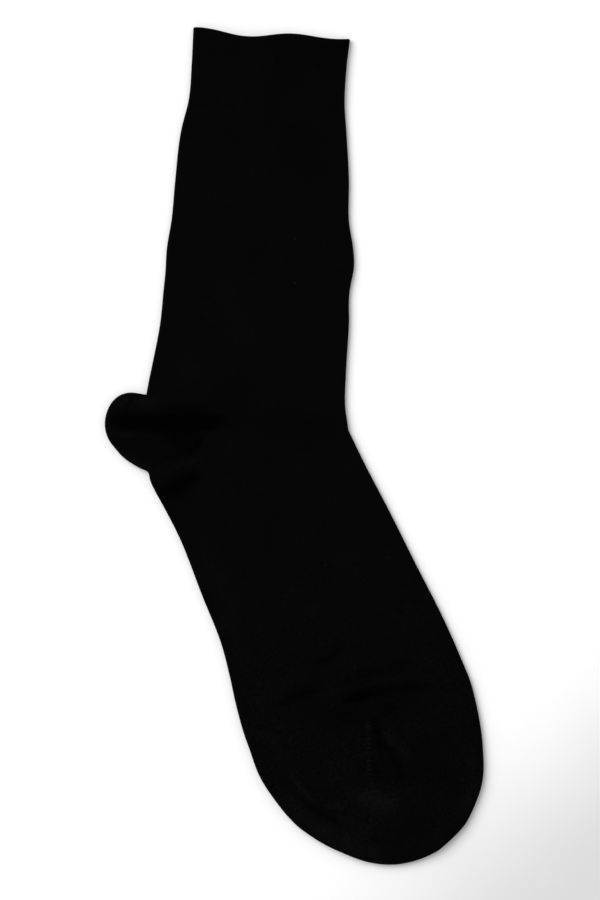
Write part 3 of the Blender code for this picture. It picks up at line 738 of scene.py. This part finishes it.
def toe_grid(cloth):
    """The toe, whose wales run beside the folded edges and end at the gore on its side."""
    sole_above = FOLD_STEPS + TOE_DENSITY.upper[0]
    sole_below = cloth.z.shape[1] - TOE_DENSITY.lower[0]

    def knit(r, c, i, j):
        on_sole = (j < sole_above) | (j >= sole_below)
        return np.where(on_sole, cloth.wale[r, c], cloth.front_wale[r, c]), cloth.course[r, c]

    return Grid(cloth, knit, True)


# ---- Meshes ----


def placed(name, data):
    """A new object that stands in the scene."""
    obj = bpy.data.objects.new(name, data)
    bpy.context.scene.collection.objects.link(obj)
    return obj


def as_mesh(obj):
    """The object with its modifiers applied, as a plain object."""
    settled = bpy.context.evaluated_depsgraph_get()
    settled.update()
    finished = obj.evaluated_get(settled)
    mesh = bpy.data.meshes.new_from_object(finished, preserve_all_data_layers=True, depsgraph=settled)
    name = obj.name
    bpy.data.objects.remove(obj, do_unlink=True)
    mesh.name = name
    return placed(name, mesh)


def welded(name, grids, wall):
    """One mesh from the grids of a piece, with its stitch numbers, its painted light and shade, and how
    rubbed it is.
    """
    points, worn, rubbed, faces, stitches = [], [], [], [], []
    for cloth, knit, tubular in grids:
        rows, columns = cloth.z.shape
        i, j = np.indices((rows - 1, columns if tubular else columns - 1)).reshape(2, -1)
        k = (j + 1) % columns
        corners = ((i, j), (i + 1, j), (i + 1, k), (i, k))
        before = sum(len(grid) for grid in points)
        faces.append(before + np.stack([r * columns + c for r, c in corners], axis=1))
        stitches.append(np.stack([np.stack(knit(r, c, i, j), axis=1) for r, c in corners], axis=1))
        for values, more in zip((points, worn, rubbed), lay_out(cloth, wall)):
            values.append(more)
    mesh = bpy.data.meshes.new(name)
    mesh.from_pydata(np.concatenate(points).tolist(), [], np.concatenate(faces).tolist())
    layer = mesh.uv_layers.new(name="knit")
    layer.data.foreach_set("uv", np.concatenate(stitches).reshape(-1))
    for label, values in (("worn", worn), ("rubbed", rubbed)):
        mesh.attributes.new(label, "FLOAT", "POINT").data.foreach_set("value", np.concatenate(values))
    bm = bmesh.new()
    bm.from_mesh(mesh)
    bmesh.ops.remove_doubles(bm, verts=bm.verts, dist=WELD_REACH * MM)
    bm.to_mesh(mesh)
    bm.free()
    mesh.shade_smooth()
    return mesh


def cloth_piece(name, grids, wall, material):
    """A knitted piece: its outer surface given its wall inwards."""
    mesh = welded(name, grids, wall)
    mesh.materials.append(material)
    outside = placed(name, mesh)
    solidify = outside.modifiers.new("wall", "SOLIDIFY")
    solidify.thickness = wall * MM
    solidify.offset = -1
    piece = as_mesh(outside)
    piece.data.set_sharp_from_angle(angle=SHARP_ANGLE)
    return piece


# ---- The knitted pieces ----


def round_mouth(piece):
    """Rounds the turned edge of the mouth, and carries the stitches on over it."""
    bm = bmesh.new()
    bm.from_mesh(piece.data)
    rim = [edge for edge in bm.edges if sum(face.normal.y > RIM_FACING for face in edge.link_faces) == 1]
    bmesh.ops.bevel(
        bm,
        geom=rim,
        offset=TURN_ROUND * MM,
        segments=TURN_STEPS,
        profile=TURN_PROFILE,
        affect="EDGES",
        clamp_overlap=False,
    )
    stitches = bm.loops.layers.uv["knit"]
    for face in bm.faces:
        if face.normal.y > RIM_SLOPE:
            for corner in face.loops:
                corner[stitches].uv.y = -corner.vert.co.z / MM / COURSE_PITCH
    bm.to_mesh(piece.data)
    bm.free()
    piece.data.set_sharp_from_angle(angle=SHARP_ANGLE)


def make_welt(leg, material):
    """The double band at the mouth."""
    rings = []
    for place in spaced(0.0, WELT_LENGTH, WELT_DENSITY.spacing):
        line, share, height = leg.course(place)
        line = wavy_mouth(line, place)
        height += WELT_EXTRA_HEIGHT * ease((WELT_LENGTH - place) / WELT_STEP)
        rings.append(tube_ring(line, share, height, WELT_DENSITY, place / COURSE_PITCH))
    welt = cloth_piece("welt_band", [tube_grid(stacked(rings))], WELT_WALL, material)
    round_mouth(welt)
    return welt


def make_leg_and_foot(leg, foot, material):
    """The plain tube, from the welt to the ankle and on to the toe, open at the back for the heel."""
    grids = []
    for tube, start, end, before in (
        (leg, WELT_LENGTH, leg.length, 0.0),
        (foot, 0.0, foot.knots[TOE_START], leg.length),
    ):
        rings = []
        for place in spaced(start, end, TUBE_DENSITY.spacing):
            line, share, height = tube.course(place)
            if tube is leg:
                line = wavy_mouth(line, place)
            rings.append(tube_ring(line, share, height, TUBE_DENSITY, (before + place) / COURSE_PITCH))
        grids.append(tube_grid(stacked(rings)))
    return cloth_piece("leg_and_foot", grids, TUBE_WALL, material)


def make_heel(leg, material):
    """The pocket of short rows that fills the opening between leg and foot."""
    values = np.array([[*c.back, c.bow, c.height] for c in HEEL_COURSES])
    knots = along(values[:, 0:2])
    rows = flow(knots, values, spaced(0.0, knots[-1], HEEL_DENSITY.spacing))
    cloth = stacked([pocket_strip(heel_line(row[0:2], row[2]), row[3], HEEL_DENSITY) for row in rows])
    gore = np.linalg.norm(rows[:, 0:2] - np.array(HEEL_GORE_START), axis=1).argmin()
    grid = heel_grid(cloth, gore, leg.length / COURSE_PITCH)
    return cloth_piece("heel_pocket", [grid], POCKET_WALL, material)


def make_toe(leg, foot, material):
    """The pocket that closes the foot, with its courses ever closer together round the tip."""
    start = foot.knots[TOE_START]
    tip_round = FOOT_COURSES[-1].height / 2
    cup = spaced(start, foot.length - tip_round, TOE_DENSITY.spacing)
    tip = foot.length - tip_round * (1 - np.sin(np.linspace(0, np.pi / 2, TIP_COURSES)))
    pitch = stitch_widths(*foot.course(start))
    rings = []
    for place in np.concatenate([cup, tip[1:]]):
        course = (leg.length + place) / COURSE_PITCH
        rings.append(tube_ring(*foot.course(place), TOE_DENSITY, course, foot.length - place, pitch))
    return cloth_piece("toe_pocket", [toe_grid(stacked(rings))], POCKET_WALL, material)


# ---- Materials ----


class Nodes:
    """Short ways to add and join nodes in one tree."""

    def __init__(self, tree):
        self.tree = tree

    def add(self, kind, label=None, **settings):
        """A new node."""
        node = self.tree.nodes.new(kind)
        if label:
            node.label = label
        for key, value in settings.items():
            setattr(node, key, value)
        return node

    def feed(self, target, value):
        """Joins a socket to another one, or sets it to a plain value."""
        if isinstance(value, bpy.types.NodeSocket):
            self.tree.links.new(value, target)
        else:
            target.default_value = value

    def make(self, kind, feeds, label=None, output=0, **settings):
        """One output of a new node whose inputs are fed, each by its name or its place."""
        node = self.add(kind, label, **settings)
        for target, value in feeds.items():
            if value is not None:
                self.feed(node.inputs[target], value)
        return node.outputs[output]

    def math(self, operation, first, second=None, third=None, label=None):
        """One step of reckoning with up to three values."""
        return self.make("ShaderNodeMath", {0: first, 1: second, 2: third}, label, operation=operation)

    def swing(self, value, reach, label=None):
        """0 to 1 turned into -reach to +reach."""
        return self.math("MULTIPLY_ADD", value, 2 * reach, -reach, label)

    def span(self, value, low, high, to_low=0.0, to_high=1.0, label=None, **settings):
        """low to high turned into to_low to to_high, and no further."""
        feeds = {"Value": value, "From Min": low, "From Max": high, "To Min": to_low, "To Max": to_high}
        return self.make("ShaderNodeMapRange", feeds, label, **settings)

    def blend(self, share, first, second, label=None):
        """From one colour to another."""
        return self.make("ShaderNodeMix", {0: share, 6: first, 7: second}, label, output=2, data_type="RGBA")

    def noise(self, vector, scale, detail, roughness=0.5, label=None):
        """Soft clouds, about so many to a unit of the vector."""
        feeds = {"Vector": vector, "Scale": scale, "Detail": detail, "Roughness": roughness}
        return self.make("ShaderNodeTexNoise", feeds, label)

    def bump(self, height, depth, label, normal=None):
        """Relief as deep as this where the height goes from 0 to 1, on top of the relief it is given."""
        return self.make("ShaderNodeBump", {"Distance": depth, "Height": height, "Normal": normal}, label)

    def vector(self, x, y, z):
        """Three values as one."""
        return self.make("ShaderNodeCombineXYZ", {0: x, 1: y, 2: z})

    def attribute(self, name):
        """What the mesh says of the place under this name."""
        return self.add("ShaderNodeAttribute", name, attribute_name=name).outputs["Fac"]


def new_group(name, kind, inputs, outputs):
    """An empty node group: its nodes, and the sockets that come in and go out.

    inputs and outputs give each socket's kind, or the number that it starts with."""
    group = bpy.data.node_groups.new(name, kind)
    for side, sockets in (("INPUT", inputs), ("OUTPUT", outputs)):
        for label, form in sockets.items():
            is_number = isinstance(form, float)
            socket_type = "NodeSocket" + ("Float" if is_number else form)
            socket = group.interface.new_socket(label, in_out=side, socket_type=socket_type)
            if is_number:
                socket.default_value = form
    n = Nodes(group)
    return n, n.add("NodeGroupInput").outputs, n.add("NodeGroupOutput").inputs


def new_material(name, look):
    """A material, its nodes, and its shader with the plain values of its look set."""
    material = bpy.data.materials.new(name)
    material.use_nodes = True
    shader = material.node_tree.nodes["Principled BSDF"]
    for label, value in look.items():
        shader.inputs[label].default_value = value
    return material, Nodes(material.node_tree), shader


def grey(value):
    """A colour with no hue."""
    return (value, value, value, 1.0)


def plain_knit_group():
    """The face of plain knitting: columns of V-shaped stitches, counted by the incoming stitch numbers."""
    n, source, result = new_group(
        "plain knit",
        "ShaderNodeTree",
        {"Stitch": "Vector", "Slant": 0.9, "Wander": 0.18},
        {"Height": "Float", "Gap": "Float"},
    )
    parts = n.add("ShaderNodeSeparateXYZ")
    n.feed(parts.inputs[0], source["Stitch"])
    loose = n.noise(source["Stitch"], TENSION_SCALE, detail=2.0, label="uneven tension")
    shift = n.math("MULTIPLY", n.math("SUBTRACT", loose, 0.5), source["Wander"])
    wale = n.math("ADD", parts.outputs["X"], shift)
    course = n.math("ADD", parts.outputs["Y"], n.math("MULTIPLY", shift, COURSE_WANDER))
    from_middle = n.math("ABSOLUTE", n.math("SUBTRACT", n.math("FRACT", wale), 0.5), label="across the wale")
    climb = n.math("MULTIPLY", from_middle, source["Slant"])
    turn = n.math("MULTIPLY", n.math("SUBTRACT", course, climb), 2 * np.pi)
    yarns = n.math("MULTIPLY_ADD", n.math("COSINE", turn), 0.5, 0.5, label="one yarn after another")
    leg = n.math("MULTIPLY_ADD", from_middle, 4.0, -1.0, label="-1 to 1 across one leg of the stitch")
    rounded = n.math("SUBTRACT", 1.0, n.math("MULTIPLY", leg, leg), label="one leg of the stitch")
    height = n.math("MULTIPLY", rounded, n.math("MULTIPLY_ADD", yarns, YARN_DIP, 1 - YARN_DIP))
    n.feed(result["Height"], height)
    n.feed(result["Gap"], n.span(height, GAP_OPEN, GAP_CLOSED, 1.0, 0.0, "between the stitches"))
    return n.tree


def pile_group():
    """Loose fibres on worn yarn: broad shading, balled fibres, short fuzz, and a few specks of lint."""
    n, source, result = new_group(
        "pile and lint",
        "ShaderNodeTree",
        {
            "Place": "Vector",
            "Patch size": 0.02,
            "Pill size": 0.0013,
            "Fuzz size": 0.0004,
            "Lint": 0.025,
        },
        {label: "Float" for label in ("Tone", "Pilling", "Fuzz", "Speck")},
    )
    place = source["Place"]
    scale = {what: n.math("DIVIDE", 1.0, source[what + " size"]) for what in ("Patch", "Pill", "Fuzz")}
    shading = n.noise(place, scale["Patch"], detail=3.0, label="broad shading")
    pills = n.noise(place, scale["Pill"], detail=2.0, roughness=0.6, label="balled fibres")
    fibres = n.noise(place, scale["Fuzz"], detail=3.0, roughness=0.65, label="short fibres")
    n.feed(result["Tone"], n.span(shading, *CLOUDS))
    n.feed(result["Pilling"], n.span(pills, *CLOUDS))
    n.feed(result["Fuzz"], fibres)
    cells = n.add("ShaderNodeTexVoronoi", "lint", feature="F1", voronoi_dimensions="2D")
    n.feed(cells.inputs["Vector"], place)
    n.feed(cells.inputs["Scale"], LINT_PER_METRE)
    lot = n.make("ShaderNodeSeparateColor", {0: cells.outputs["Color"]}, "a lot drawn for each cell")
    picked = n.math("LESS_THAN", lot, source["Lint"])
    speck = n.span(cells.outputs["Distance"], *LINT_SIZE, 1.0, 0.0)
    n.feed(result["Speck"], n.math("MULTIPLY", speck, picked))
    return n.tree


def wear_and_painted_light_group():
    """How worn the yarn is, with its painted light and shade: painted light and shade by where it lies, wear
    where it rubs, and its random shading, its pills and its fibres.
    """
    n, source, result = new_group(
        "wear_and_painted_light",
        "ShaderNodeTree",
        {"Worn": WEAR_PLAIN, "Rubbed": 0.0, "Tone": 0.5, "Pilling": 0.5, "Fuzz": 0.5},
        {"Wear and painted light": "Float"},
    )
    shading = n.swing(source["Tone"], SHADING_SWING)
    # The painted light and shade that the mesh carries, with random shading
    wear_and_painted_light = n.math("ADD", source["Worn"], shading, label="wear and shade")
    rubbing = n.span(source["Rubbed"], 0.0, 1.0, PILLING_SWING, RUBBED_PILLING_SWING)
    pilling = n.math("MULTIPLY", n.math("SUBTRACT", source["Pilling"], 0.5), rubbing)
    wear_and_painted_light = n.math("ADD", wear_and_painted_light, pilling, label="with pilling")
    n.feed(result["Wear and painted light"], n.math("ADD", wear_and_painted_light, n.swing(source["Fuzz"], FIBRE_SWING), label="with fibres"))
    return n.tree


def yarn_material(name, knit, pile, wear_and_light_tree):
    """Knitted yarn: stitches, fuzz, painted highlight along ridges, painted shade in creases and between the
    stitches, and wear where it rubs.
    """
    look = YARNS[name]
    deep, plain, worn = grey(look.deep), grey(look.plain), grey(look.worn)
    material, n, shader = new_material(name, GLOSS)
    fabric = n.add("ShaderNodeGroup", node_tree=knit)
    n.feed(fabric.inputs["Stitch"], n.add("ShaderNodeUVMap", "stitch numbers", uv_map="knit").outputs[0])
    n.feed(fabric.inputs["Wander"], look.wander)
    fibres = n.add("ShaderNodeGroup", node_tree=pile)
    n.feed(fibres.inputs["Place"], n.add("ShaderNodeTexCoord").outputs["Object"])
    feeds = {what: fibres.outputs[what] for what in ("Tone", "Pilling", "Fuzz")}
    feeds.update({"Worn": n.attribute("worn"), "Rubbed": n.attribute("rubbed")})
    wear_and_painted_light = n.make("ShaderNodeGroup", feeds, node_tree=wear_and_light_tree)
    # Painted shade deep in creases, painted highlight with wear towards the pale end, and painted shade
    # between the stitches
    shaded = n.blend(n.span(wear_and_painted_light, FULL_PAINTED_SHADE, WEAR_PLAIN), deep, plain, "painted crease shade to plain")
    with_painted_light = n.blend(n.span(wear_and_painted_light, WEAR_PLAIN, FULL_PAINTED_LIGHT_AND_WEAR), shaded, worn, "plain to worn")
    painted_gap_shade = n.math("MULTIPLY", fabric.outputs["Gap"], GAP_PAINTED_SHADE)
    knitted = n.blend(painted_gap_shade, with_painted_light, deep, "painted shade between the stitches")
    n.feed(shader.inputs["Base Color"], n.blend(fibres.outputs["Speck"], knitted, grey(LINT_COLOUR), "lint"))
    rough = (look.rough - ROUGHNESS_SWING, look.rough + ROUGHNESS_SWING)
    n.feed(shader.inputs["Roughness"], n.span(fibres.outputs["Tone"], 0.0, 1.0, *rough))
    stitches = n.bump(fabric.outputs["Height"], STITCH_DEPTH, "stitches")
    n.feed(shader.inputs["Normal"], n.bump(fibres.outputs["Fuzz"], FUZZ_DEPTH, "fibres", stitches))
    return material


def sewing_material(name):
    """Twisted sewing yarn, a little brighter along its turns."""
    dark, light = SEWING_YARNS[name]
    material, n, shader = new_material(name, GLOSS)
    place = n.add("ShaderNodeTexCoord").outputs["Object"]
    twist = n.noise(place, TWIST_SCALE, detail=3.0, roughness=0.6, label="twist of the yarn")
    n.feed(shader.inputs["Base Color"], n.blend(n.span(twist, *TWIST_RANGE), grey(dark), grey(light)))
    n.feed(shader.inputs["Roughness"], n.span(twist, *CLOUDS, *TWIST_ROUGHNESS))
    n.feed(shader.inputs["Normal"], n.bump(twist, FUZZ_DEPTH, "twist"))
    return material


# ---- Sewing ----


def grain_of_yarn(n, size, hand):
    """One of the two grains of a stitch, which leans to its own side."""
    ball = {"Segments": GRAIN_SEGMENTS, "Rings": GRAIN_RINGS, "Radius": 0.5}
    feeds = {
        "Geometry": n.make("GeometryNodeMeshUVSphere", ball, "grain of yarn"),
        "Translation": n.vector(0.0, n.math("MULTIPLY", size["Apart"], hand / 2), 0.0),
        "Rotation": n.vector(0.0, 0.0, n.math("MULTIPLY", size["Lean"], hand)),
        "Scale": n.vector(size["Grain length"], size["Grain width"], size["Grain width"]),
    }
    return n.make("GeometryNodeTransform", feeds)


def stitch_row_tree():
    """Stitches along a line: each is two grains of yarn that lean together like a V."""
    n, size, result = new_group(
        "row of stitches",
        "GeometryNodeTree",
        {
            "Geometry": "Geometry",
            "Spacing": 0.001,
            "Grain length": 0.001,
            "Grain width": 0.0004,
            "Lean": 0.5,
            "Apart": 0.0004,
            "Unevenness": 0.25,
            "Yarn": "Material",
        },
        {"Geometry": "Geometry"},
    )
    line = n.make("GeometryNodeMeshToCurve", {"Mesh": size["Geometry"]})
    stops = n.make("GeometryNodeResampleCurve", {"Curve": line, "Length": size["Spacing"]}, mode="LENGTH")
    stitch = n.add("GeometryNodeJoinGeometry")
    for hand in (1.0, -1.0):
        n.feed(stitch.inputs[0], grain_of_yarn(n, size, hand))
    tangent = n.add("GeometryNodeInputTangent").outputs[0]
    aim = n.make("FunctionNodeAlignRotationToVector", {"Vector": tangent}, axis="X")
    least = n.math("SUBTRACT", 1.0, size["Unevenness"])
    most = n.math("ADD", 1.0, size["Unevenness"])
    draw = {2: least, 3: most, "Seed": STITCH_SEED}
    uneven = n.make("FunctionNodeRandomValue", draw, "uneven stitches", output=1, data_type="FLOAT")
    feeds = {"Points": stops, "Instance": stitch.outputs[0], "Rotation": aim, "Scale": uneven}
    real = n.make("GeometryNodeRealizeInstances", {0: n.make("GeometryNodeInstanceOnPoints", feeds)})
    smooth = n.make("GeometryNodeSetShadeSmooth", {0: real})
    n.feed(result[0], n.make("GeometryNodeSetMaterial", {"Geometry": smooth, "Material": size["Yarn"]}))
    return n.tree


def line_on(piece, points, sink, from_below=False):
    """A chain of points on the outside of a piece, over or under plan points, sunk into it by sink."""
    vertices, faces = piece.data.vertices, piece.data.polygons
    tree = BVHTree.FromPolygons([vertex.co for vertex in vertices], [face.vertices[:] for face in faces])
    travelled = along(np.array(points))
    plan = flow(travelled, np.array(points), np.linspace(0, travelled[-1], int(travelled[-1] / LINE_STEP)))
    start = -PROBE_HEIGHT if from_below else PROBE_HEIGHT
    landed = []
    for x, y in plan * MM + APEX[:2]:
        hit, normal = tree.ray_cast(Vector((x, y, start)), Vector((0, 0, -start)))[:2]
        if hit is not None:
            landed.append(hit - normal * sink * MM)
    return landed


def on_both_layers(piece, points):
    """The same line of sewing on the upper and on the lower layer."""
    return [line_on(piece, points, SEWING_SINK), line_on(piece, points, UNDERSIDE_SINK, from_below=True)]


def sew(name, piece, points, tree, yarn, stitch):
    """Stitches on a piece, along a line of points, as a plain mesh."""
    lines = on_both_layers(piece, points)
    mesh = bpy.data.meshes.new(name)
    edges, first = [], 0
    for line in lines:
        edges += [(first + i, first + i + 1) for i in range(len(line) - 1)]
        first += len(line)
    mesh.from_pydata([point for line in lines for point in line], edges, [])
    guide = placed(name, mesh)
    stitches = guide.modifiers.new("stitches", "NODES")
    stitches.node_group = tree
    values = {
        "Spacing": stitch.spacing * MM,
        "Grain length": stitch.grain_length * MM,
        "Grain width": stitch.grain_width * MM,
        "Apart": stitch.apart * MM,
        "Lean": stitch.lean,
        "Yarn": yarn,
    }
    for socket in tree.interface.items_tree:
        if socket.name in values:
            stitches[socket.identifier] = values[socket.name]
    return as_mesh(guide)


# ---- Floor, light and camera ----


def pale_floor():
    """A sheet of white paper that falls into shade towards one corner."""
    half = FLOOR_SIZE / 2
    mesh = bpy.data.meshes.new("floor")
    corners = [(x * half, y * half, -FLOOR_DROP) for x, y in ((-1, -1), (1, -1), (1, 1), (-1, 1))]
    mesh.from_pydata(corners, [], [(0, 1, 2, 3)])
    floor = placed("floor", mesh)
    material, n, shader = new_material("white paper", PAPER_LOOK)
    place = n.add("ShaderNodeTexCoord").outputs["Object"]
    turn = {"Vector": place, "Rotation": (0, 0, SHADE_TURN)}
    turned = n.make("ShaderNodeMapping", turn, "towards the corner")
    away = n.make("ShaderNodeSeparateXYZ", {0: turned})
    grain = n.swing(n.noise(place, PAPER_GRAIN_SCALE, detail=3.0, label="paper"), PAPER_GRAIN)
    uneven = n.math("ADD", away, grain)
    shade = n.span(uneven, SHADE_FROM, SHADE_FULL, label="shaded corner", interpolation_type="SMOOTHSTEP")
    n.feed(shader.inputs["Base Color"], n.blend(shade, grey(PAPER), grey(SHADED_PAPER)))
    mesh.materials.append(material)
    return floor


def light():
    """One big window on the left, in a pale room."""
    world = bpy.data.worlds.new("pale room")
    world.use_nodes = True
    background = world.node_tree.nodes["Background"]
    background.inputs["Color"].default_value = grey(1.0)
    background.inputs["Strength"].default_value = FILL_STRENGTH
    bpy.context.scene.world = world
    lamp = bpy.data.lights.new("window", "AREA")
    lamp.energy = WINDOW_POWER
    lamp.size = WINDOW_SIZE
    window = placed("window", lamp)
    window.location = WINDOW_PLACE
    window.rotation_euler = (-Vector(WINDOW_PLACE)).to_track_quat("-Z", "Y").to_euler()


def camera_above():
    """Looks straight down."""
    eye = bpy.data.cameras.new("camera")
    eye.sensor_width = SENSOR
    eye.lens = SENSOR * VIEW_DISTANCE / VIEW_HEIGHT
    camera = placed("camera", eye)
    camera.location = (*VIEW_CENTRE, VIEW_DISTANCE)
    bpy.context.scene.camera = camera
    bpy.context.scene.view_settings.view_transform = "Standard"


# ---- The sock ----


def main():
    """Knits the sock on its floor, puts each piece under the root body, and hides the model's parts that it
    stands in for.
    """
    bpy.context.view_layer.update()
    light()
    camera_above()
    floor = pale_floor()
    knit, pile, wear_and_light_tree = plain_knit_group(), pile_group(), wear_and_painted_light_group()
    yarn = {name: yarn_material(name, knit, pile, wear_and_light_tree) for name in YARNS}
    leg, foot = Tube(LEG_COURSES), Tube(FOOT_COURSES)
    welt = make_welt(leg, yarn["welt_knit"])
    tube = make_leg_and_foot(leg, foot, yarn["plain_knit"])
    heel = make_heel(leg, yarn["pocket_knit"])
    toe = make_toe(leg, foot, yarn["pocket_knit"])
    thread = {name: sewing_material(name) for name in SEWING_YARNS}
    rows = stitch_row_tree()
    toe_gore = sew("toe_gore_stitches", toe, TOE_GORE, rows, thread["gore_yarn"], GORE_STITCH)
    toe_link = sew("toe_seam_stitches", toe, TOE_LINK, rows, thread["link_yarn"], LINK_STITCH)
    heel_gore = sew("heel_gore_stitches", heel, HEEL_GORE, rows, thread["heel_yarn_in_painted_shade"], LINK_STITCH)
    pieces = (
        (welt, "welt_knit", ("welt",)),
        (tube, "plain_knit", ("leg", "foot")),
        (heel, "pocket_knit", ("heel",)),
        (toe, "pocket_knit", ("toe",)),
        (toe_gore, "pocket_knit", ()),
        (toe_link, "pocket_knit", ()),
        (heel_gore, "pocket_knit", ()),
    )
    for piece, finish, nodes in pieces:
        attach(piece, "root")
        if nodes:
            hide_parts(*nodes)


main()
